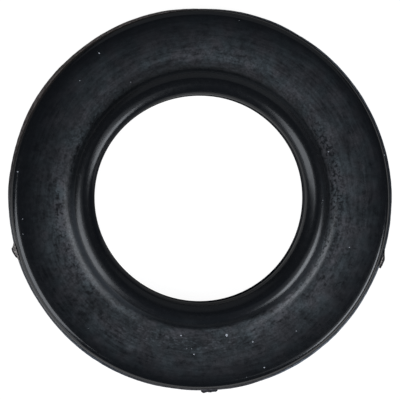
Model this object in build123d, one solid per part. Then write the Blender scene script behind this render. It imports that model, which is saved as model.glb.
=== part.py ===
"""Moulded rubber sealing ring: a flat flange with a round bead standing round its bore.

The ring is one moulding in soft black rubber. It lies on its flat underside, with the bead up.
From the outside in, its section has a rounded rim with the mould's parting flash round it, a
broad flat flange, a hollow fillet, and a round bead whose inner side drops straight into the
bore. Torn ends of flash are left on the parting line in three places.

Frame: origin on the bore's axis at the flat underside, +Z up through the bead. Millimetres.
"""

import os
from math import cos, degrees, radians, sin, sqrt

from build123d import *

# Driving dimensions
outer_diameter = 59.2  # over the rim's wall, without the flash
bore_diameter = 32.4  # the straight wall that grips a tube or spigot
flange_thickness = 2.6
overall_height = 4.7  # from the underside to the bead's crest
bead_stand_off = 1.93  # from the bore's wall out to the line of the bead's crest
bead_radius = 2.08  # the bead's round section
fillet_radius = 2.2  # the hollow between flange and bead
rim_top_radius = 1.25  # the rim's upper edge
rim_bottom_bevel = 0.4  # the rim's lower edge
bore_edge_bevel = 0.2  # the bore's lower edge

# Parting flash, half-way up the rim's straight wall
flash_reach = 0.4  # how far the flash stands out of the rim's wall
flash_root = 0.34  # the flash's thickness where it leaves the wall
flash_tip = 0.14  # and at its blunt edge

# Torn ends of flash: each curls away from the rim, from its root round to its free end
curl_width = 0.2  # the ribbon's width, seen from above
left_curl_angle = 193.9  # where its root is, round the ring from +X towards +Y
left_curl_length = 2.6
left_curl_lift = 0.26  # the gap that it leaves to the flash's edge
right_curl_angle = 344.4
right_curl_length = 2.7
right_curl_lift = 0.3
scrap_angle = 270.2
scrap_length = 2.6
scrap_reach = 0.2  # how far the scrap stands out of the flash
pip_reach = 0.12  # how far its two pips stand out of the scrap

# What follows from them
outer_radius = outer_diameter / 2
bore_radius = bore_diameter / 2
flash_radius = outer_radius + flash_reach
flash_height = (rim_bottom_bevel + flange_thickness - rim_top_radius) / 2
bead_centre_r = bore_radius + bead_stand_off
bead_centre_z = overall_height - bead_radius
bead_inner_z = bead_centre_z + sqrt(bead_radius**2 - bead_stand_off**2)
fillet_centre_z = flange_thickness + fillet_radius
centres_apart = bead_radius + fillet_radius
centres_rise = fillet_centre_z - bead_centre_z
fillet_centre_r = bead_centre_r + sqrt(centres_apart**2 - centres_rise**2)
bead_end_r = bead_centre_r + (fillet_centre_r - bead_centre_r) * bead_radius / centres_apart
bead_end_z = bead_centre_z + centres_rise * bead_radius / centres_apart


def ring_section():
    """Half of the ring's section in the XZ plane, to turn about Z."""
    with BuildSketch(Plane.XZ) as section:
        with BuildLine():
            Polyline(
                (bore_radius, bead_inner_z),
                (bore_radius, bore_edge_bevel),
                (bore_radius + bore_edge_bevel, 0),
                (outer_radius - rim_bottom_bevel, 0),
                (outer_radius, rim_bottom_bevel),
                (outer_radius, flash_height - flash_root / 2),
                (flash_radius, flash_height - flash_tip / 2),
                (flash_radius, flash_height + flash_tip / 2),
                (outer_radius, flash_height + flash_root / 2),
                (outer_radius, flange_thickness - rim_top_radius),
            )
            CenterArc(
                (outer_radius - rim_top_radius, flange_thickness - rim_top_radius),
                rim_top_radius,
                start_angle=0,
                arc_size=90,
            )
            Line(
                (outer_radius - rim_top_radius, flange_thickness),
                (fillet_centre_r, flange_thickness),
            )
            RadiusArc((fillet_centre_r, flange_thickness), (bead_end_r, bead_end_z), fillet_radius)
            ThreePointArc(
                (bead_end_r, bead_end_z),
                (bead_centre_r, overall_height),
                (bore_radius, bead_inner_z),
            )
        make_face()
    return section.sketch


def at(angle, radius):
    """The point at this angle and radius, seen from above."""
    return (radius * cos(radians(angle)), radius * sin(radians(angle)))


def flash_plate(outline):
    """A closed outline, seen from above, as a plate of the flash's edge thickness."""
    plate = Plane.XY.offset(flash_height - flash_tip / 2) * make_face(outline)
    return extrude(plate, flash_tip)


def curl(root, length, lift, turn):
    """A torn ribbon that leaves the flash at its root and runs round beside it, standing off."""
    sweep = turn * degrees(length / flash_radius)
    middle = root + sweep / 2
    end = root + sweep
    back = root - turn * degrees(curl_width / flash_radius)
    outer = flash_radius + lift + curl_width
    outside = ThreePointArc(at(back, flash_radius), at(middle, outer), at(end, outer))
    tip = Line(at(end, outer), at(end, outer - curl_width))
    inside = ThreePointArc(
        at(end, outer - curl_width),
        at(middle, outer - curl_width),
        at(root, flash_radius),
    )
    foot = Polyline(
        at(root, flash_radius), at(root, outer_radius), at(back, outer_radius), at(back, flash_radius)
    )
    return flash_plate(Wire([outside, tip, inside] + foot.edges()))


def scrap():
    """A torn scrap with a ragged edge: a low shelf with two pips on it."""
    shelf = flash_radius + scrap_reach
    pip = shelf + pip_reach
    step = degrees(scrap_length / flash_radius) / 8
    reaches = [outer_radius, shelf, pip, pip, shelf, pip, shelf, shelf, outer_radius]
    points = [at(scrap_angle + i * step, reach) for i, reach in enumerate(reaches)]
    return flash_plate(Polyline(*points, close=True))


def main():
    ring = revolve(ring_section(), axis=Axis.Z)
    ring += curl(left_curl_angle, left_curl_length, left_curl_lift, 1)
    ring += curl(right_curl_angle, right_curl_length, right_curl_lift, -1)
    ring += scrap()
    os.makedirs("parts", exist_ok=True)
    export_step(ring, "parts/sealing_ring.step")


main()
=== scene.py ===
from math import asin, atan2, cos, degrees, hypot, pi, radians, sin, sqrt, tan
from types import SimpleNamespace

import bmesh
import bpy
from mathutils import Matrix, Vector, noise
from mathutils.bvhtree import BVHTree


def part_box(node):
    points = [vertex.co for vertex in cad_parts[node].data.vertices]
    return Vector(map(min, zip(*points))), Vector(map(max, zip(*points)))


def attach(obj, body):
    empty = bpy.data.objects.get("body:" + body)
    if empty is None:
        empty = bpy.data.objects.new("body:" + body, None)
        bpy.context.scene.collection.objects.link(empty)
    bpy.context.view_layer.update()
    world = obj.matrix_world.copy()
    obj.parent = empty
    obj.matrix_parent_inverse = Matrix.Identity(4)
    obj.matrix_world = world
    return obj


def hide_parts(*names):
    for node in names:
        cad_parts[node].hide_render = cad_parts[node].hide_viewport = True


mm = 0.001

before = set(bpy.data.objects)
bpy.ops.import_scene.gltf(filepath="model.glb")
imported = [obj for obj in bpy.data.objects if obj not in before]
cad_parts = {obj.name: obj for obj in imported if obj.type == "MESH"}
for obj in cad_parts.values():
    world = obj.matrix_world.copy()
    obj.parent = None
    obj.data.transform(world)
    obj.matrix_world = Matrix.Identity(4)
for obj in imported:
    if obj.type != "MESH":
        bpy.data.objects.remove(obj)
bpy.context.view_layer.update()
ringLow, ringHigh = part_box("sealing_ring")
print("frame loaded")


# ring: a wire section of lines and arcs, turned round the bore's axis

ring = {
    "boreRadius": 16.2,
    "beadStandOff": 1.93,     # bore wall to crest line
    "beadRadius": 2.08,
    "hollowRadius": 2.2,
    "flangeThickness": 2.6,
    "rimRadius": 29.6,
    "rimTop": 1.18,
    "rimBottom": 0.4,
    "boreBottom": 0.2,
    "boreTop": 0.1,           # softened edge where the bead drops into the bore
    "flashRoot": 0.34,
    "flashTip": 0.14,
    "flashNeck": 0.7,         # half the thickness half-way out, as a share of the tip's
    "flashSoft": 0.03,
    "flashRagged": 0.04,
    "flashWaves": [(9, 0.8), (40, 0.6)],     # how fine the raggedness is, how strong
    "flashWorn": [   # angle, half width in degrees, mm lost or, where less than 0, left over
        (88, 30, 0.13), (90, 13, 0.13), (58, 14, 0.07), (147, 22, -0.165), (175, 9, -0.045), (190, 13, 0.06),
        (214, 17, 0.07), (265, 21, 0.12), (288, 5, 0.06), (334, 12, 0.035), (8, 14, -0.035),
    ],
    # the mould's halves don't quite meet, so what stands at each radius is a little aside: radius, x, y
    "asides": [
        (16.5, -0.30, 0.16), (17.4, -0.21, 0.14), (18.3, -0.14, 0.26), (19.2, -0.22, 0.08), (20.9, 0.0, 0.10),
        (22.0, -0.09, 0.12), (26, 0, 0), (28.5, 0.06, -0.02), (29.5, 0.01, 0.04),
    ],
    "asideWithin": 26,             # nearer in than this all of the ring is aside,
    "asideAbove": 1.3,             # and further out only what is above this
    # where the bead's inner side is a little sunk: angle, half width in degrees, radius, reach each way,
    # depth, outward
    "dents": [(10, 39, 16.6, 1.5, 0.09, 0.05), (152, 34, 17.4, 0.85, 0.08, 0.0)],
    "dentsAbove": 3,
    "boreOval": 0.10,
    "boreLobes": 0.057,
    "lobeAngle": 46,
    "boreTrue": 18.5,              # radius at which the bore's faults have gone
    "boreFades": 2,                # and over how many mm
    "boreTaper": 0.05,             # narrower at the underside
    "taperTrue": (17, 3.5),        # radius and height at which the taper has gone
    "taperFades": (0.5, 4),
    "turnSteps": 480,
}
flashHeight = (ring["rimBottom"] + ring["flangeThickness"] - ring["rimTop"]) / 2
flashRadius = ringHigh.x / mm


def lineTo(bm, vert, r, z, pieces=1):
    start = vert.co.copy()
    end = Vector((r * mm, 0, z * mm))
    for i in range(pieces):
        vert = bmesh.ops.extrude_vert_indiv(bm, verts=[vert])["verts"][0]
        vert.co = start.lerp(end, (i + 1) / pieces)
    return vert


def arcTo(bm, vert, r, z, turn, steps):
    swept = bmesh.ops.spin(bm, geom=[vert], cent=(r * mm, 0, z * mm), axis=(0, 1, 0),
                           angle=turn, steps=steps, use_merge=False)
    return [g for g in swept["geom_last"] if isinstance(g, bmesh.types.BMVert)][0]


def loopAt(bm, r, z):
    # the round edges at this radius and height
    def near(v):
        return abs(hypot(v.co.x, v.co.y) - r * mm) < 1e-6 and abs(v.co.z - z * mm) < 1e-6
    return [e for e in bm.edges if near(e.verts[0]) and near(e.verts[1])]


def soften(bm, edges, width, segments):
    bmesh.ops.bevel(bm, geom=edges, offset=width * mm, affect="EDGES", segments=segments,
                    profile=0.5, material=-1, clamp_overlap=True)


def ease(t):
    t = min(1, max(0, t))
    return t * t * (3 - 2 * t)


def degreesApart(way, angle):
    return abs((degrees(atan2(way.y, way.x)) - angle + 180) % 360 - 180)


def asideAt(asides, r):
    for (r0, *first), (r1, *second) in zip(asides, asides[1:]):
        if r < r1:
            return Vector(first + [0]).lerp(Vector(second + [0]), ease((r - r0) / (r1 - r0)))
    return Vector(second + [0])


def buildSection(bm, size):
    height = ringHigh.z / mm
    beadR = size["boreRadius"] + size["beadStandOff"]
    beadZ = height - size["beadRadius"]
    innerTurn = asin(size["beadStandOff"] / size["beadRadius"])
    hollowZ = size["flangeThickness"] + size["hollowRadius"]
    apart = size["beadRadius"] + size["hollowRadius"]
    hollowR = beadR + sqrt(apart ** 2 - (hollowZ - beadZ) ** 2)
    outerTurn = atan2(hollowR - beadR, hollowZ - beadZ)
    rimRadius = size["rimRadius"]
    rimZ = size["flangeThickness"] - size["rimTop"]
    neck = (rimRadius + flashRadius) / 2

    v = bm.verts.new((size["boreRadius"] * mm, 0, size["boreBottom"] * mm))
    v = lineTo(bm, v, size["boreRadius"] + size["boreBottom"], 0)
    v = lineTo(bm, v, rimRadius - size["rimBottom"], 0, 6)
    v = lineTo(bm, v, rimRadius, size["rimBottom"])
    v = lineTo(bm, v, rimRadius, flashHeight - size["flashRoot"] / 2)
    v = lineTo(bm, v, neck, flashHeight - size["flashTip"] * size["flashNeck"])
    v = lineTo(bm, v, flashRadius, flashHeight - size["flashTip"] / 2)
    v = lineTo(bm, v, flashRadius, flashHeight + size["flashTip"] / 2)
    v = lineTo(bm, v, neck, flashHeight + size["flashTip"] * size["flashNeck"])
    v = lineTo(bm, v, rimRadius, flashHeight + size["flashRoot"] / 2)
    v = lineTo(bm, v, rimRadius, rimZ)
    v = arcTo(bm, v, rimRadius - size["rimTop"], rimZ, -pi / 2, 14)
    v = lineTo(bm, v, hollowR, size["flangeThickness"], 12)
    v = arcTo(bm, v, hollowR, hollowZ, outerTurn, 14)
    v = arcTo(bm, v, beadR, beadZ, -outerTurn - innerTurn, 30)
    lineTo(bm, v, size["boreRadius"], size["boreBottom"], 4)
    bmesh.ops.remove_doubles(bm, verts=bm.verts[:], dist=1e-7)
    return beadZ + size["beadRadius"] * cos(innerTurn)


def flashBack(way, size):
    # how far the torn edge of the flash stands back on this side
    back = 1
    for fine, strong in size["flashWaves"]:
        back += strong * noise.noise(way * fine)
    back *= size["flashRagged"]
    for angle, wide, depth in size["flashWorn"]:
        back += depth * ease(1 - degreesApart(way, angle) / wide)
    return back


def wander(vert, size):
    # the moulding's own faults move this vertex
    r = hypot(vert.co.x, vert.co.y) / mm
    way = Vector((vert.co.x, vert.co.y, 0)) / (r * mm)
    out = (r - size["rimRadius"]) / (flashRadius - size["rimRadius"])
    if out > 0.02:     # on the flash
        vert.co -= way * flashBack(way, size) * out * mm
    within = r < size["asideWithin"] or vert.co.z > size["asideAbove"] * mm
    beside = asideAt(size["asides"], r) if within else Vector((0, 0, 0))
    near = ease((size["boreTrue"] - r) / size["boreFades"])
    beside += way * size["boreLobes"] * cos(3 * (atan2(way.y, way.x) - radians(size["lobeAngle"]))) * near
    if vert.co.z > size["dentsAbove"] * mm:
        for angle, wide, middle, reach, depth, outward in size["dents"]:
            beside += (way * outward - Vector((0, 0, depth))) * (
                ease(1 - degreesApart(way, angle) / wide) * ease(1 - abs(r - middle) / reach))
    beside += way * (way.x ** 2 - way.y ** 2) * size["boreOval"] * near
    (taperRadius, taperHeight), (overRadius, overHeight) = size["taperTrue"], size["taperFades"]
    beside -= way * size["boreTaper"] * ease((taperRadius - r) / overRadius) * ease(
        (taperHeight - vert.co.z / mm) / overHeight)
    vert.co += beside * mm


def buildRing(size):
    bm = bmesh.new()
    innerZ = buildSection(bm, size)
    bmesh.ops.spin(bm, geom=bm.verts[:] + bm.edges[:], cent=(0, 0, 0), axis=(0, 0, 1),
                   angle=2 * pi, steps=size["turnSteps"], use_merge=True)
    bmesh.ops.remove_doubles(bm, verts=bm.verts[:], dist=1e-7)
    soften(bm, loopAt(bm, size["boreRadius"], innerZ), size["boreTop"], 4)
    soften(bm, loopAt(bm, flashRadius, flashHeight + size["flashTip"] / 2), size["flashSoft"], 2)
    soften(bm, loopAt(bm, flashRadius, flashHeight - size["flashTip"] / 2), size["flashSoft"], 2)
    bmesh.ops.recalc_face_normals(bm, faces=bm.faces[:])
    for v in bm.verts:
        wander(v, size)
    return bm


def meshObject(name, bm, angle=35):
    mesh = bpy.data.meshes.new(name)
    bm.to_mesh(mesh)
    bm.free()
    mesh.shade_smooth()
    mesh.set_sharp_from_angle(angle=radians(angle))
    made = bpy.data.objects.new(name, mesh)
    bpy.context.scene.collection.objects.link(made)
    return made


ringPiece = meshObject("rubberRing", buildRing(ring))
print("ring turned:", len(ringPiece.data.polygons), "faces")


# torn flash: two ribbons curled off the rim and one ragged scrap

torn = {
    "ribbonSteps": 26,
    # the thread runs along part of a bulge in the thin film that still joins it to the rim
    "ribbons": [
        {
            "root": 192.9,        # angle at which it starts
            "way": 1,             # turn along the rim
            "length": 3.2,
            "lift": 0.46,         # how far it bulges out,
            "widest": 0.36,       # where it is widest
            "closes": 1.0,        # and how far it closes again
            "width": 0.20,        # the thread's
            "from": 0.26,         # where along the bulge the thread starts
            "to": 0.78,           # and stops
            "filmTo": 1.0,        # where the film stops
            "filmOver": 0.28,     # how far in it lies over the flash
        },
        {"root": 344.4, "way": -1, "length": 2.95, "lift": 0.39, "widest": 0.55, "closes": 0.30,
         "width": 0.32, "from": 0.0, "to": 1.0, "filmTo": 0.93, "filmOver": 0.12},
    ],
    "rise": 0.16,                 # a ribbon rises along its length
    "droop": 0.10,                # and droops towards its end
    "thick": 0.12,
    "edgeRound": 0.28,            # share of its thickness and width that is rounded off
    "uneven": 0.2,
    "unevenFine": 7,              # how fine the unevenness is along a ribbon
    "filmThick": 0.03,
    "filmLift": 0.2,              # the film lies on the flash where it starts
    "rootIn": 0.1,
    "scrapAngle": 269.9,
    "scrapLength": 2.62,
    # how far it stands out from the flash, from end to end
    "scrapReach": [0.02, 0.24, 0.29, 0.18, 0.14, 0.20, 0.23, 0.15, 0.16, 0.18, 0.02],
    "scrapSteps": 27,
    "scrapRagged": 0.02,
    "scrapFine": 2.3,
    "scrapWarp": 0.05,
    "scrapThins": 0.45,
    "scrapIn": 0.1,
}


def ribbonAt(ribbon, u, look):
    # radius and angle of the ribbon's middle line
    bulge = ease(u / ribbon["widest"]) if u < ribbon["widest"] else (
        1 - ribbon["closes"] * ease((u - ribbon["widest"]) / (1 - ribbon["widest"])))
    middle = flashRadius - 0.5 * ribbon["width"]
    angle = radians(ribbon["root"]) + ribbon["way"] * (u * ribbon["length"] - look["rootIn"]) / middle
    return middle + ribbon["lift"] * bulge, angle


def ribbonHeight(u, look):
    return flashHeight - look["droop"] * u * u + look["rise"] * u


def onRim(r, angle, z):
    return Vector((r * cos(angle), r * sin(angle), z)) * mm


def buildRibbon(ribbon, look):
    bm = bmesh.new()
    bmesh.ops.create_cube(bm, size=1)
    along = [e for e in bm.edges if abs(e.verts[0].co.x - e.verts[1].co.x) > 0.5]
    bmesh.ops.bevel(bm, geom=along, offset=look["edgeRound"], affect="EDGES", segments=3,
                    profile=0.5, material=-1)
    along = [e for e in bm.edges if abs(e.verts[0].co.x - e.verts[1].co.x) > 0.5]
    bmesh.ops.subdivide_edges(bm, edges=along, cuts=look["ribbonSteps"])
    for v in bm.verts:
        u = ribbon["from"] + (v.co.x + 0.5) * (ribbon["to"] - ribbon["from"])
        r, angle = ribbonAt(ribbon, u, look)
        uneven = noise.noise(Vector((u * look["unevenFine"], ribbon["root"], 0)))
        r += v.co.y * ribbon["width"] * (1 + look["uneven"] * uneven)
        v.co = onRim(r, angle, ribbonHeight(u, look) + v.co.z * look["thick"])
    return bm


def thinSheet(lengthSteps):
    # a flat sheet one unit long, wide and thick, to be bent
    bm = bmesh.new()
    bmesh.ops.create_grid(bm, x_segments=lengthSteps, y_segments=3, size=0.5)
    flat = bmesh.ops.extrude_face_region(bm, geom=bm.faces[:])["geom"]
    bmesh.ops.translate(bm, verts=[g for g in flat if isinstance(g, bmesh.types.BMVert)], vec=(0, 0, 1))
    return bm


def buildFilm(ribbon, look):
    bm = thinSheet(look["ribbonSteps"])
    inside = flashRadius - ribbon["filmOver"]
    for v in bm.verts:
        u = (v.co.x + 0.5) * ribbon["filmTo"]
        across = v.co.y + 0.5
        r, angle = ribbonAt(ribbon, u, look)
        lifted = look["filmLift"] * max(0, 1 - 2 * across)
        z = ribbonHeight(u, look) + (v.co.z - 0.5) * look["filmThick"] + lifted
        v.co = onRim(inside + (r - inside) * across, angle, z)
    bmesh.ops.recalc_face_normals(bm, faces=bm.faces[:])
    return bm


def buildScrap(look, size):
    bm = thinSheet(look["scrapSteps"])
    reach = look["scrapReach"]
    inside = size["rimRadius"] - look["scrapIn"]
    for v in bm.verts:
        along = (v.co.x + 0.5) * (len(reach) - 1)
        i = min(int(along), len(reach) - 2)
        out = reach[i] + (reach[i + 1] - reach[i]) * (along - i)
        out += look["scrapRagged"] * noise.noise(Vector((along * look["scrapFine"], 4, v.co.z)))
        across = v.co.y + 0.5
        r = inside + (flashRadius + out - inside) * across
        angle = radians(look["scrapAngle"]) + (v.co.x + 0.5) * look["scrapLength"] / r
        warp = look["scrapWarp"] * across * noise.noise(Vector((along, 0, 8)))
        thick = look["thick"] * (1 - look["scrapThins"] * across)
        v.co = onRim(r, angle, flashHeight + (v.co.z - 0.5) * thick + warp)
    bmesh.ops.recalc_face_normals(bm, faces=bm.faces[:])
    return bm


def joined(parts):
    bm = bmesh.new()
    for part in parts:
        mesh = bpy.data.meshes.new("part")
        part.to_mesh(mesh)
        part.free()
        bm.from_mesh(mesh)
        bpy.data.meshes.remove(mesh)
    bmesh.ops.recalc_face_normals(bm, faces=bm.faces[:])
    return bm


threads = [buildRibbon(ribbon, torn) for ribbon in torn["ribbons"]]
tornPiece = meshObject("tornFlash", joined(threads + [buildScrap(torn, ring)]))
filmPiece = meshObject("tornFilm", joined([buildFilm(ribbon, torn) for ribbon in torn["ribbons"]]))
print("torn flash made")


# dust: grains that lie on the ring

dust = {
    "grains": [   # angle, radius from the middle of the ring, grain radius
        (125.1, 27.6, 0.125), (171.4, 28.7, 0.12), (186.2, 27.8, 0.065), (190.9, 28.1, 0.075),
        (78.2, 28.3, 0.04), (121.3, 21.2, 0.085), (135.8, 26.3, 0.065), (20.6, 21.05, 0.125),
        (13.6, 29.4, 0.09), (280.4, 21.4, 0.24), (289.7, 23.5, 0.13), (261.3, 21.3, 0.125),
        (264.2, 23.2, 0.085), (266.1, 23.2, 0.075), (267.1, 24.0, 0.11), (290.4, 27.9, 0.11),
        (284.2, 28.5, 0.05), (305.7, 25.2, 0.085), (342.0, 24.2, 0.075), (228.7, 26.5, 0.045),
        (359.6, 18.6, 0.045), (358.4, 18.45, 0.042), (199.1, 18.75, 0.045),
    ],
    "sunk": 0.4,
    "flat": 0.5,
    "lumpy": 0.3,
    "lumpFine": 1.3,
}


def buildDust(look, piece):
    surface = BVHTree.FromObject(piece, bpy.context.evaluated_depsgraph_get())
    bm = bmesh.new()
    for angle, radius, size in look["grains"]:
        over = Vector((radius * cos(radians(angle)), radius * sin(radians(angle)), 10)) * mm
        place = surface.ray_cast(over, Vector((0, 0, -1)))[0]
        grain = bmesh.ops.create_icosphere(bm, subdivisions=2, radius=size * mm)["verts"]
        for v in grain:
            lump = noise.noise(v.co / (size * mm) * look["lumpFine"] + Vector((angle, 0, 0)))
            v.co *= 1 + look["lumpy"] * lump
            v.co.z *= look["flat"]
            v.co += place + Vector((0, 0, size * (1 - look["sunk"]) * look["flat"] * mm))
    return bm


dustPiece = meshObject("dustGrains", buildDust(dust, ringPiece), angle=60)
print("dust laid:", len(dust["grains"]), "grains")


# shader values as arithmetic

class Shade:
    def __init__(self, tree, socket=None):
        self.tree = tree
        self.socket = socket

    def node(self, kind, settings=None, inputs=None, output=0):
        made = self.tree.nodes.new(kind)
        for name, value in (settings or {}).items():
            setattr(made, name, value)
        for name, value in (inputs or {}).items():
            if isinstance(value, Shade):
                self.tree.links.new(value.socket, made.inputs[name])
            else:
                made.inputs[name].default_value = value
        return Shade(self.tree, made.outputs[output] if len(made.outputs) else None)

    def maths(self, operation, *values):
        return self.node("ShaderNodeMath", {"operation": operation}, dict(enumerate(values)))

    def __add__(self, other):
        return self.maths("ADD", self, other)

    def __radd__(self, other):
        return self.maths("ADD", other, self)

    def __sub__(self, other):
        return self.maths("SUBTRACT", self, other)

    def __rsub__(self, other):
        return self.maths("SUBTRACT", other, self)

    def __mul__(self, other):
        return self.maths("MULTIPLY", self, other)

    def __rmul__(self, other):
        return self.maths("MULTIPLY", other, self)

    def __truediv__(self, other):
        return self.maths("DIVIDE", self, other)

    def __pow__(self, other):
        return self.maths("POWER", self, other)

    def step(self, low, high):
        # 0 below low, 1 above high, smooth between
        return self.node("ShaderNodeMapRange", {"interpolation_type": "SMOOTHSTEP"},
                         {"Value": self, "From Min": low, "From Max": high})

    def fall(self, low, high):
        # 1 below low, 0 above high, straight between
        return self.node("ShaderNodeMapRange", {"clamp": True},
                         {"Value": self, "From Min": low, "From Max": high, "To Min": 1, "To Max": 0})


def vector(operation, first, *others):
    return first.node("ShaderNodeVectorMath", {"operation": operation}, dict(enumerate((first, *others))))


def scaled(s, colour, amount):
    return s.node("ShaderNodeVectorMath", {"operation": "SCALE"}, {0: colour, "Scale": amount})


def length(value):
    return value.node("ShaderNodeVectorMath", {"operation": "LENGTH"}, {0: value}, output="Value")


def dot(first, second):
    return first.node("ShaderNodeVectorMath", {"operation": "DOT_PRODUCT"}, {0: first, 1: second},
                      output="Value")


def coordinate(value, axis):
    return value.node("ShaderNodeSeparateXYZ", {}, {0: value}, output=axis)


def speckle(where, scale, detail=2, rough=0.5):
    return where.node("ShaderNodeTexNoise", {}, {
        "Vector": where, "Scale": scale, "Detail": detail, "Roughness": rough})


def mixed(amount, first, second):
    return amount.node("ShaderNodeMix", {"data_type": "RGBA"}, {0: amount, 6: first, 7: second}, output=2)


def most(first, *others):
    for other in others:
        first = first.maths("MAXIMUM", first, other)
    return first


def band(value, low, full, still, gone):
    # rises from low to full, falls from still to gone
    return value.step(low, full) * value.fall(still, gone)


# rubber: black, with a grey bloom, dull walls darkened with painted shade, and a dusty crease with painted
# shade in it and painted light on its lamp sides
# a level with sides is what it is everywhere, then angle, half width and how much more or less on each side

rubber = {
    "base": (0.0040, 0.0048, 0.0062, 1),
    "roughness": 0.25,
    "specular": 0.35,
    "rimSmoother": (24, 28, 0.09),     # radii, how much
    "blotchRoughness": 0.06,
    "beadAt": 16.5,                # radius whose aside the bead takes
    "creaseAt": 19.2,              # and the crease
    "bump": {"strength": 0.25, "distance": 0.02, "least": 0.1},
    # noise: how many to the mm, detail, roughness, moved by, where it starts and where it is full
    "noises": {
        "cloud": (0.2, 3, 0.5, (0, 0, 0), 0.32, 0.68),
        "patch": (0.6, 3, 0.5, (0, 0, 0), 0.3, 0.7),
        "blotch": (1.5, 2, 0.5, (0, 0, 0), 0.25, 0.75),
        "grain": (3.2, 2, 0.5, (0, 0, 0), 0.2, 0.8),
        "poreSpots": (2.1, 1, 0.6, (0, 0, 9), 0.5, 0.62),
        "flecks": (1.9, 1, 0.6, (5, 0, 3), 0.55, 0.66),
        "hue": (0.33, 2, 0.5, (40, 7, 0), 0.35, 0.65),
    },
    "fine": (4.6, 1),
    # noise drawn out round the ring: how many to the mm along it and across it, detail, start, full
    "streaks": {
        "streak": (0.35, 2.4, 3, 0.33, 0.67),
        "dashes": (1.1, 4.5, 2, 0.52, 0.66),
        "ticks": (1.6, 3, 2, 0.4, 0.6),
    },
    "streakRadius": 22,
    "streakRough": 0.6,
    "porousSide": (355, 55),
    "roughSide": (205, 50, 0.55),
    "raggedSide": (148, 30),
    "thinSide": (-0.94, 0.34, 0),
    "evenSide": (-0.35, -0.94, 0),
}

bloom = {
    "cool": (0.0555, 0.0675, 0.0745, 1),
    "warm": (0.0665, 0.0660, 0.0730, 1),
    "level": 0.59,
    "roughness": 0.36,
    "starts": 19.5,                # mm from the bead's axis
    "fringe": 1.2,
    "fringeRagged": 0.16,
    "raggedMore": 0.45,            # on the ragged side
    "ends": (22.0, 28.9),          # radii between which it fades
    "endsSooner": (0.2, 1.0, 0.5),     # on the side facing 160°
    "endsBend": 1.2,
    "spongyTo": (22.0, 26.0),
    "calm": (1.1, (122, 42, -0.4), (203, 50, 0.5), (335, 40, 0.3), (25, 55, -0.3)),
    "streaky": 0.6,
    "cloudy": 0.5,
    "patchy": 0.45,
    "blotchy": (0.25, 0.35),       # everywhere, and more where it is spongy
    "grainyMore": (0.1, 0.3, 0.9),     # the same, and more again in clouds
    "innerLess": (20.5, 22.5, 0.15),
    "thinLess": (0.1, 1.0, 0.28),
    "evenLess": (0.4, 1.0, 0.4, 0.12),
    "evenTo": (22, 27),
    "poreBand": (19.6, 20.1, 20.9, 22.0),
    "poreLot": (0.25, 0.4, 0.6),   # everywhere, more in clouds, more on the rough sides
    "poreDark": 0.85,
    "fleckBand": (19.3, 19.8, 20.6, 21.8),
    "fleckLevels": (0.45, 0.4),    # on the ragged side and on the rough sides
    "dashSide": (262, 42),
    "dashBand": (21.0, 21.8, 23.4, 25.0),
    "dashLevel": 1.1,
    "dashMiddle": 0.28,            # what the dashes are on average
    "slopeBand": (18.4, 19.0, 19.1, 19.8),
    "slopeSide": (-0.2, 0.7),
    "slopeLevel": (0.05, 0.04),    # everywhere, and more in patches
    "grainy": 0.9,
    "everywhere": 0.008,
    "clouding": (0.02, (180, 40, 0.03)),
    "cloudingFrom": (20, 24),
    "cloudingTo": (24, 29),
    # where it is thicker or thinner: angle, half width, radius, reach each way, how much
    "drifts": [
        (234, 18, 22.4, 1.8, -0.50), (252, 9, 22.6, 1.3, 0.30), (265, 12, 22.4, 1.4, -0.40),
        (301, 16, 21.8, 1.6, 0.40), (315, 12, 22.0, 1.8, -0.30), (322, 34, 25.4, 1.6, -0.10),
        (338, 28, 20.9, 0.9, -0.50), (2, 18, 21.5, 1.1, 0.90), (14, 12, 27.4, 1.2, 0.3),
        (27, 14, 23.7, 1.6, -0.28), (72, 14, 21.4, 0.8, -0.20), (88, 26, 25.2, 1.8, -0.18),
        (104, 13, 22.5, 1.2, 0.45), (119, 8, 24.0, 3.0, -0.22), (115, 18, 21.5, 1.2, -0.40),
        (135, 14, 22.4, 1.0, 0.30), (154, 20, 24.0, 2.0, -0.35), (169, 9, 21.5, 0.8, -0.30),
        (182, 14, 21.9, 1.0, 2.0), (208, 18, 21.8, 0.9, 0.65), (174, 26, 25.4, 2.6, -0.40),
        (190, 32, 27.4, 2.4, -0.40), (212, 15, 27.8, 1.6, 1.3), (254, 32, 27.0, 2.2, 0.50),
        (10, 44, 27.2, 2.2, 0.55), (46, 18, 27.3, 2.0, 0.45), (47, 14, 23.8, 2.6, -0.18),
        (131, 14, 26.5, 1.8, 0.50), (240, 10, 25.0, 1.2, 0.55), (336, 9, 23.9, 0.9, 0.30),
    ],
    "driftAdds": 0.012,
    "pits": [(218.9, 24.9), (200.9, 22.4), (211.8, 22.6)],     # angle, radius
    "pitSize": (0.08, 0.24),
    "pitDark": 0.7,
}

# painted shade: the crease, the bore wall and the rim's outer band lose their sheen and go dark, next to real
# duller spots and pores
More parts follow.
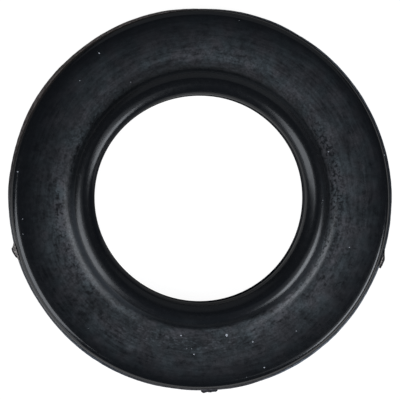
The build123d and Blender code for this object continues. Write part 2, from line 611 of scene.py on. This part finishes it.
dullingAndShade = {
    # painted shade on the bore wall and the bead's inner edge: their sheen is taken off and they go dark,
    # most at the wall's foot and on some sides
    "wallColour": (0.006, 0.007, 0.009, 1),
    "wallEdge": (16.4, 16.5),
    "wallFull": (0.95, 0.05),      # how dull, and how much more at the foot
    "wallLip": (0.34, (268, 75, 0.42)),
    "lipHeight": (3.2, 3.4),
    "footHeight": (0.9, 2.3),
    "footSide": (-0.7, -0.1),
    "shadedEdge": (16.6, 16.8),
    "shadedSide": (-0.6, 0.1),
    "shadedLevel": 0.8,
    # where the dull wall's painted shade comes further up: radii, angle, half width, level
    "wallSpread": [(16.9, 17.2, 188, 28, 0.93), (16.45, 16.65, 165, 28, 0.95)],
    "beadEdge": (17.5, 18.0),
    "bead": 0.12,
    # painted shade in the crease between bead and flange: its sheen is taken off and it goes to the dark
    # crease colour
    "creaseFrom": (19.3, 19.55),
    "creaseTo": (19.9, 20.5),
    "crease": 0.85,
    "creaseDust": (0.028, 0.031, 0.035),
    # dust everywhere, with painted light: lighter on the sides towards the lamps at 210°, 324° and 75°
    "creaseDustAndLight": (0.3, (210, 42, 0.85), (324, 26, 0.5), (75, 60, 0.5)),
    "dustFrom": (19.1, 19.3),
    "flangeSide": (338, 48),
    "flangeBand": (20.8, 21.2, 21.6, 22.5),
    "flange": 0.36,
    "pores": 0.6,
    # where the bead's skin is less shiny: angle, half width, radius, reach each way, how much
    "spots": [
        (240, 25, 18.5, 0.7, 0.5), (295, 33, 18.45, 0.6, 0.6), (281, 17, 19.2, 0.7, 0.5),
        (350, 18, 19.5, 0.5, 0.3), (32, 36, 16.65, 0.35, 0.45),
    ],
}

# the rim's outermost band is dull and dark, painted shade that leaves its sheen towards 213° and 290°, and
# the torn edge of the flash is paler in dashes, partly its own tan colour and partly a painted highlight
# strongest towards 318°
rim = {
    "warm": (1.16, 1.0, 0.94, 1),
    "cool": (0.90, 1.0, 1.16, 1),
    "warmer": (0, (135, 65, 1), (268, 28, 0.5)),
    "shiny": 0.036,
    "shinyFrom": (29.5, 29.7),
    "spread": ((130, 55, 0.12), (35, 50, 0.05), (265, 50, 0.04)),
    "edgeFrom": (29.3, 29.42),
    "edge": (0.97, (213, 48, -0.57), (290, 60, -0.2)),
    "wallFrom": (29.55, 29.65),
    "wall": (0.95, (213, 48, -0.27)),
    "paleSpread": ((122, 56, 0.16), (60, 75, 0.06), (312, 42, -0.06)),
    "paleFrom": (29.61, 29.70),
    "paleAbove": (0.7, 0.9),
    "paleLeast": 0.45,
    # painted highlight along the flash's edge, strongest towards 318°, with the flash's own paler tan edge
    # towards 130°
    "pale": (
        0.26, (214, 32, -0.13), (130, 55, 0.4), (265, 60, 0.22), (318, 36, 1.0), (232, 9, 0.3),
        (70, 62, 0.65),
    ),
    "paleColour": 0.12,
    "dark": 0.0125,
    "darkFrom": (28.6, 29.3),
}


def side(at, angle, wide):
    # 1 on that side of the ring, 0 this many degrees away from it, and level over the middle quarter
    facing = (cos(radians(angle)), sin(radians(angle)), 0)
    return dot(at.towards, facing).step(cos(radians(wide)), cos(radians(wide * 0.25)))


def sided(at, level, *sides):
    # a level that is more or less on some sides of the ring
    for angle, wide, more in sides:
        level = level + side(at, angle, wide) * more
    return level


def ringPlaces(s, look):
    # where a point lies on the ring, in mm, and the noises that its finish is made of
    at = SimpleNamespace()
    at.inMm = scaled(s, s.node("ShaderNodeTexCoord", output="Object"), 1 / mm)
    at.flat = vector("MULTIPLY", at.inMm, (1, 1, 0))
    at.radius = length(at.flat)
    at.towards = vector("NORMALIZE", at.flat)
    at.height = coordinate(at.inMm, 2)
    at.beadRadius = length(vector("SUBTRACT", at.flat, asideAt(ring["asides"], look["beadAt"])))
    at.creaseRadius = length(vector("SUBTRACT", at.flat, asideAt(ring["asides"], look["creaseAt"])))
    for name, (scale, detail, rough, moved, low, high) in look["noises"].items():
        setattr(at, name, speckle(vector("ADD", at.inMm, moved), scale, detail, rough).step(low, high))
    at.fine = speckle(at.inMm, *look["fine"])
    # round the ring, with the radius standing for height, so that streaks run with the moulding
    turned = (look["streakRadius"], look["streakRadius"], 0)
    around = vector("MULTIPLY_ADD", at.towards, turned, s.node("ShaderNodeCombineXYZ", {}, {2: at.radius}))
    for name, (along, across, detail, low, high) in look["streaks"].items():
        drawn = vector("MULTIPLY", around, (along, along, across))
        setattr(at, name, speckle(drawn, 1.0, detail, look["streakRough"]).step(low, high))
    at.porous = side(at, *look["porousSide"])
    at.ragged = side(at, *look["raggedSide"])
    roughAngle, roughWide, roughLevel = look["roughSide"]
    at.rough = most(at.porous, side(at, roughAngle, roughWide) * roughLevel)
    at.thin = dot(at.towards, look["thinSide"])
    at.even = dot(at.towards, look["evenSide"])
    return at


def layBloom(at, look):
    # sets where the bloom is, how spongy it is there, and its fringe
    # it starts in a soft fringe beside the bead and fades towards the rim
    unruly = at.grain + at.blotch + at.patch * 2 - 2
    at.fringe = (at.beadRadius - look["starts"]) / look["fringe"] + unruly * look["fringeRagged"]
    at.fringe = at.fringe + (at.blotch + at.grain - 1) * at.ragged * look["raggedMore"]
    low, high, sooner = look["endsSooner"]
    fades = (at.radius + at.thin.step(low, high) * sooner).fall(*look["ends"])
    at.cover = at.fringe.step(0, 1) * fades ** look["endsBend"]
    at.spongy = at.radius.fall(*look["spongyTo"])


def markPores(at, look):
    low, full, still, gone = look["poreBand"]
    always, cloudy, rough = look["poreLot"]
    lot = always + at.cloud * cloudy + at.rough * rough
    spots = at.poreSpots * at.beadRadius.step(low, full)
    at.pores = spots * (at.beadRadius - at.porous).fall(still, gone) * lot


def bloomAmount(at, look):
    # clouds and patches everywhere, and finer blotches and grains where the bloom is spongy
    mottle = (at.cloud - 0.5) * look["cloudy"] + (at.patch - 0.5) * look["patchy"]
    always, spongy = look["blotchy"]
    mottle = mottle + (at.blotch - 0.5) * (always + at.spongy * spongy)
    always, spongy, cloudy = look["grainyMore"]
    mottle = mottle + (at.grain - 0.5) * (always + at.spongy * (spongy + at.cloud * cloudy))
    mottle = 1 + mottle * sided(at, *look["calm"]) + (at.streak - 0.5) * look["streaky"]
    low, high, less = look["innerLess"]
    amount = at.cover * mottle * (1 - less + at.radius.step(low, high) * less) * look["level"]
    # painted shade: the bloom is made darker on the side facing 160°
    low, high, less = look["thinLess"]
    amount = amount * (1 - at.thin.step(low, high) * less)
    low, high, less, more = look["evenLess"]
    amount = amount * (1 - at.even.step(low, high) * (at.radius.fall(*look["evenTo"]) * less - more))
    return amount * (1 - at.pores * look["poreDark"])


def marked(at, amount, look):
    # flecks and dashes, the dusty slope of the bead and faint clouds
    low, full, still, gone = look["fleckBand"]
    flecks = at.flecks * at.beadRadius.step(low, full) * (at.beadRadius - at.porous).fall(still, gone)
    ragged, rough = look["fleckLevels"]
    amount = amount + flecks * (at.ragged * ragged + at.rough * rough)
    dashed = (at.dashes - look["dashMiddle"]) * side(at, *look["dashSide"])
    dashed = dashed * band(at.radius, *look["dashBand"])
    amount = amount * (1 + dashed * look["dashLevel"])
    slope = band(at.beadRadius, *look["slopeBand"]) * (1 - at.thin.step(*look["slopeSide"]))
    always, patchy = look["slopeLevel"]
    amount = amount * (1 + (at.fine - 0.5) * look["grainy"]) + slope * (always + at.patch * patchy)
    amount = amount + at.patch * look["everywhere"]
    clouds = at.beadRadius.step(*look["cloudingFrom"]) * at.radius.fall(*look["cloudingTo"])
    return amount + (at.patch + at.blotch + at.streak - 1.5) * clouds * sided(at, *look["clouding"])


def drifted(at, amount, look):
    for angle, wide, middle, reach, level in look["drifts"]:
        off = at.radius - middle
        here = side(at, angle, wide) * off.maths("ABSOLUTE", off).fall(reach * 0.2, reach) * level
        amount = amount * (1 + here) + here * look["driftAdds"]
    for angle, pitRadius in look["pits"]:
        spot = (pitRadius * cos(radians(angle)), pitRadius * sin(radians(angle)), 0)
        pit = length(vector("SUBTRACT", at.flat, spot)).fall(*look["pitSize"])
        amount = amount * (1 - pit * look["pitDark"])
    return most(amount, 0)


def wallDulledAndShaded(at, look):
    # the bore's wall, dull and dark with painted shade, more at its foot, and how far that painted shade
    # comes up over the bead on each side
    foot = most(at.height.fall(*look["footHeight"]), coordinate(at.towards, 1).fall(*look["footSide"]))
    lip = sided(at, *look["wallLip"])
    full, more = look["wallFull"]
    below = (full + foot * more - lip) * at.height.fall(*look["lipHeight"])
    wall = at.beadRadius.fall(*look["wallEdge"]) * (lip + below)
    shaded = coordinate(at.towards, 0).fall(*look["shadedSide"])
    wall = most(wall, at.beadRadius.fall(*look["shadedEdge"]) * shaded * look["shadedLevel"])
    for near, far, angle, wide, level in look["wallSpread"]:
        wall = most(wall, at.beadRadius.fall(near, far) * side(at, angle, wide) * level)
    return wall


# painted shade: the rim's outer band loses its sheen and goes dark, less so towards 213° and 290°
def rimDulledAndShaded(at, look):
    edge = sided(at, at.radius, *look["spread"]).step(*look["edgeFrom"]) * sided(at, *look["edge"])
    return most(edge, at.radius.step(*look["wallFrom"]) * sided(at, *look["wall"]))


def dulledAndShaded(at, look):
    # painted shade in the crease
    crease = at.creaseRadius.step(*look["creaseFrom"]) * at.beadRadius.fall(*look["creaseTo"])
    bead = at.beadRadius.fall(*look["beadEdge"]) * look["bead"]
    flange = side(at, *look["flangeSide"]) * band(at.radius, *look["flangeBand"]) * look["flange"]
    pores = at.pores * at.porous * look["pores"]
    amount = most(wallDulledAndShaded(at, look), crease * look["crease"], rimDulledAndShaded(at, rim), bead, flange, pores)
    for angle, wide, middle, reach, level in look["spots"]:
        off = at.beadRadius - middle
        near = off.maths("ABSOLUTE", off).fall(reach * 0.6, reach)
        amount = most(amount, side(at, angle, wide) * near * level)
    return amount


# the torn flash's paler dashed edge, with a painted highlight: a light line strongest towards the lamp at
# 318°
def paleFlashAndHighlight(at, look):
    torn = sided(at, at.radius, *look["paleSpread"]).step(*look["paleFrom"])
    dashed = look["paleLeast"] + at.ticks * (1 - look["paleLeast"])
    return torn * dashed * at.height.step(*look["paleAbove"]) * sided(at, *look["pale"])


def rubberMaterial(look):
    material = bpy.data.materials.new("rubber")
    material.use_nodes = True
    tree = material.node_tree
    tree.nodes.clear()
    s = Shade(tree)
    at = ringPlaces(s, look)
    layBloom(at, bloom)
    markPores(at, bloom)
    amount = drifted(at, marked(at, bloomAmount(at, bloom), bloom), bloom)

    rimTint = mixed(sided(at, *rim["warmer"]), rim["cool"], rim["warm"])
    tint = mixed(at.hue, bloom["cool"], bloom["warm"])
    colour = mixed(amount.maths("MINIMUM", amount, 1), look["base"], tint)
    colour = mixed(at.radius.step(*rim["shinyFrom"]), colour, scaled(s, rimTint, rim["shiny"]))
    roughness = look["roughness"] + (bloom["roughness"] - look["roughness"]) * at.cover
    roughness = roughness + (at.blotch - 0.5) * look["blotchRoughness"]
    low, high, smoother = look["rimSmoother"]
    roughness = roughness - at.radius.step(low, high) * smoother
    uneven = (at.grain + at.blotch) * (look["bump"]["least"] + at.fringe.step(0, 1) * at.spongy)
    bump = s.node("ShaderNodeBump", {}, {
        "Height": uneven, "Strength": look["bump"]["strength"], "Distance": look["bump"]["distance"] * mm})
    shiny = s.node("ShaderNodeBsdfPrincipled", {}, {
        "Base Color": colour, "Roughness": roughness, "Specular IOR Level": look["specular"], "Normal": bump})

    # the crease's dust colour, with painted light on the sides towards the lamps
    dust = scaled(s, dullingAndShade["creaseDust"], sided(at, *dullingAndShade["creaseDustAndLight"]))
    matt = mixed(at.creaseRadius.step(*dullingAndShade["dustFrom"]), dullingAndShade["wallColour"], dust)
    # the rim's dark colour, with the pale flash edge and its painted highlight
    rimColour = scaled(s, rimTint, paleFlashAndHighlight(at, rim) * rim["paleColour"] + rim["dark"])
    matt = mixed(at.radius.step(*rim["darkFrom"]), matt, rimColour)
    dull = s.node("ShaderNodeBsdfPrincipled", {}, {
        "Base Color": matt, "Roughness": 1.0, "Specular IOR Level": 0.0})
    # the dull, dark mix is painted shade in the crease, on the bore wall and on the rim's outer band, and the
    # real duller spots and pores
    both = s.node("ShaderNodeMixShader", {}, {0: dulledAndShaded(at, dullingAndShade), 1: shiny, 2: dull})
    s.node("ShaderNodeOutputMaterial", {}, {"Surface": both})
    return material


tornLook = {
    "thread": {"dark": (0.004, 0.004, 0.006, 1), "pale": (0.030, 0.028, 0.032, 1), "roughness": 0.5},
    "film": {"dark": (0.07, 0.062, 0.057, 1), "pale": (0.36, 0.325, 0.30, 1), "roughness": 0.6},
    "dust": {"dark": (0.22, 0.23, 0.25, 1), "pale": (0.48, 0.50, 0.54, 1), "roughness": 0.9},
}


def fleckedMaterial(name, look):
    material = bpy.data.materials.new(name)
    material.use_nodes = True
    tree = material.node_tree
    tree.nodes.clear()
    s = Shade(tree)
    fleck = speckle(scaled(s, s.node("ShaderNodeTexCoord", output="Object"), 1 / mm), 4)     # 4 to the mm
    colour = mixed(fleck.step(0.4, 0.7), look["dark"], look["pale"])
    bump = s.node("ShaderNodeBump", {}, {"Height": fleck, "Strength": 0.3, "Distance": 0.03 * mm})
    shader = s.node("ShaderNodeBsdfPrincipled", {}, {
        "Base Color": colour, "Roughness": look["roughness"], "Specular IOR Level": 0.3, "Normal": bump})
    s.node("ShaderNodeOutputMaterial", {}, {"Surface": shader})
    return material


ringPiece.data.materials.append(rubberMaterial(rubber))
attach(ringPiece, "root")
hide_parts("sealing_ring")
for piece, kind in ((tornPiece, "thread"), (filmPiece, "film"), (dustPiece, "dust")):
    piece.data.materials.append(fleckedMaterial(kind, tornLook[kind]))
    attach(piece, "root")
print("rubber painted")


# floor, lamps and world

studio = {
    "floorHalf": 1.5,             # metres
    "floorGap": 0.02,             # mm below the ring
    "floorShown": 0.955,          # how white the floor is by itself, before the lamps
    "floorColour": 0.8,           # what it lends to the ring
    "floorFaint": 0.13,
    "lampAway": 0.45,             # metres
    "lampColour": (0.93, 0.98, 1.05),
    "lamps": [                   # azimuth, elevation, wide, tall in degrees, radiance
        (206.6, 41, 33, 42, 5.1),
        (205, 70, 14, 16, 0.4),
        (327.8, 34, 31, 28, 7.7),
        (318, 60, 20, 24, 1.0),
        (212, 8, 40, 16, 1.6),
        (80, 33, 74, 50, 0.30),
    ],
    "skyHigh": 0.065,
    "skyLow": 0.10,
    "skyRises": (0.0, 0.6),
}


def buildFloor(look):
    bm = bmesh.new()
    bmesh.ops.create_grid(bm, x_segments=1, y_segments=1, size=look["floorHalf"])
    bmesh.ops.translate(bm, verts=bm.verts[:], vec=(0, 0, ringLow.z - look["floorGap"] * mm))
    floor = meshObject("floor", bm)
    material = bpy.data.materials.new("paleFloor")
    material.use_nodes = True
    tree = material.node_tree
    tree.nodes.clear()
    s = Shade(tree)
    matt = s.node("ShaderNodeBsdfDiffuse", {}, {"Color": [look["floorColour"]] * 3 + [1]})
    faint = s.node("ShaderNodeBsdfDiffuse", {}, {"Color": [look["floorFaint"]] * 3 + [1]})
    white = s.node("ShaderNodeEmission", {}, {"Color": (1, 1, 1, 1), "Strength": look["floorShown"]})
    shown = s.node("ShaderNodeAddShader", {}, {0: faint, 1: white})
    seen = s.node("ShaderNodeLightPath", output="Is Camera Ray")
    glossy = s.node("ShaderNodeLightPath", output="Is Glossy Ray")
    through = s.node("ShaderNodeLightPath", output="Is Transmission Ray")
    both = s.node("ShaderNodeMixShader", {}, {0: most(seen, glossy, through), 1: matt, 2: shown})
    s.node("ShaderNodeOutputMaterial", {}, {"Surface": both})
    floor.data.materials.append(material)


def addLamp(name, look, azimuth, elevation, wide, tall, radiance):
    away = look["lampAway"]
    a, e = radians(azimuth), radians(elevation)
    place = Vector((cos(a) * cos(e), sin(a) * cos(e), sin(e))) * away
    lamp = bpy.data.lights.new(name, "AREA")
    lamp.shape = "RECTANGLE"
    lamp.size = 2 * away * tan(radians(wide / 2))
    lamp.size_y = 2 * away * tan(radians(tall / 2))
    lamp.energy = radiance * pi * lamp.size * lamp.size_y
    lamp.color = look["lampColour"]
    made = bpy.data.objects.new(name, lamp)
    made.location = place
    made.rotation_euler = (-place).to_track_quat("-Z", "Y").to_euler()
    bpy.context.scene.collection.objects.link(made)


def buildWorld(look):
    world = bpy.data.worlds.new("studio")
    world.use_nodes = True
    tree = world.node_tree
    tree.nodes.clear()
    s = Shade(tree)
    up = coordinate(s.node("ShaderNodeTexCoord", output="Generated"), 2)
    high = up.step(*look["skyRises"])
    level = look["skyLow"] + (look["skyHigh"] - look["skyLow"]) * high
    back = s.node("ShaderNodeBackground", {}, {"Strength": level})
    s.node("ShaderNodeOutputWorld", {}, {"Surface": back})
    bpy.context.scene.world = world


buildFloor(studio)
for i, lamp in enumerate(studio["lamps"]):
    addLamp("lamp%d" % (i + 1), studio, *lamp)
buildWorld(studio)
print("studio lit")


# camera: nearly straight down, tipped a little towards -X and -Y

view = {
    "away": 250,           # mm
    "tiltX": 3.2,          # degrees towards -X
    "tiltY": -0.6,         # and towards -Y
    "across": 62.38,       # mm that the picture is wide, at the target
    "target": (-0.194, -0.105, 1.0),
    "sensor": 36,
    "nearest": 0.01,       # metres
}


def buildCamera(look):
    target = Vector(look["target"]) * mm
    back = Vector((-tan(radians(look["tiltX"])), -tan(radians(look["tiltY"])), 1)).normalized()
    data = bpy.data.cameras.new("camera")
    data.sensor_width = look["sensor"]
    data.lens = look["sensor"] * look["away"] / look["across"]
    data.clip_start = look["nearest"]
    made = bpy.data.objects.new("camera", data)
    right = Vector((0, 1, 0)).cross(back).normalized()
    up = back.cross(right)
    made.matrix_world = Matrix.Translation(target + back * look["away"] * mm) @ Matrix(
        (right, up, back)).transposed().to_4x4()
    bpy.context.scene.collection.objects.link(made)
    bpy.context.scene.camera = made


buildCamera(view)
bpy.context.scene.view_settings.view_transform = "Standard"
print("camera set")
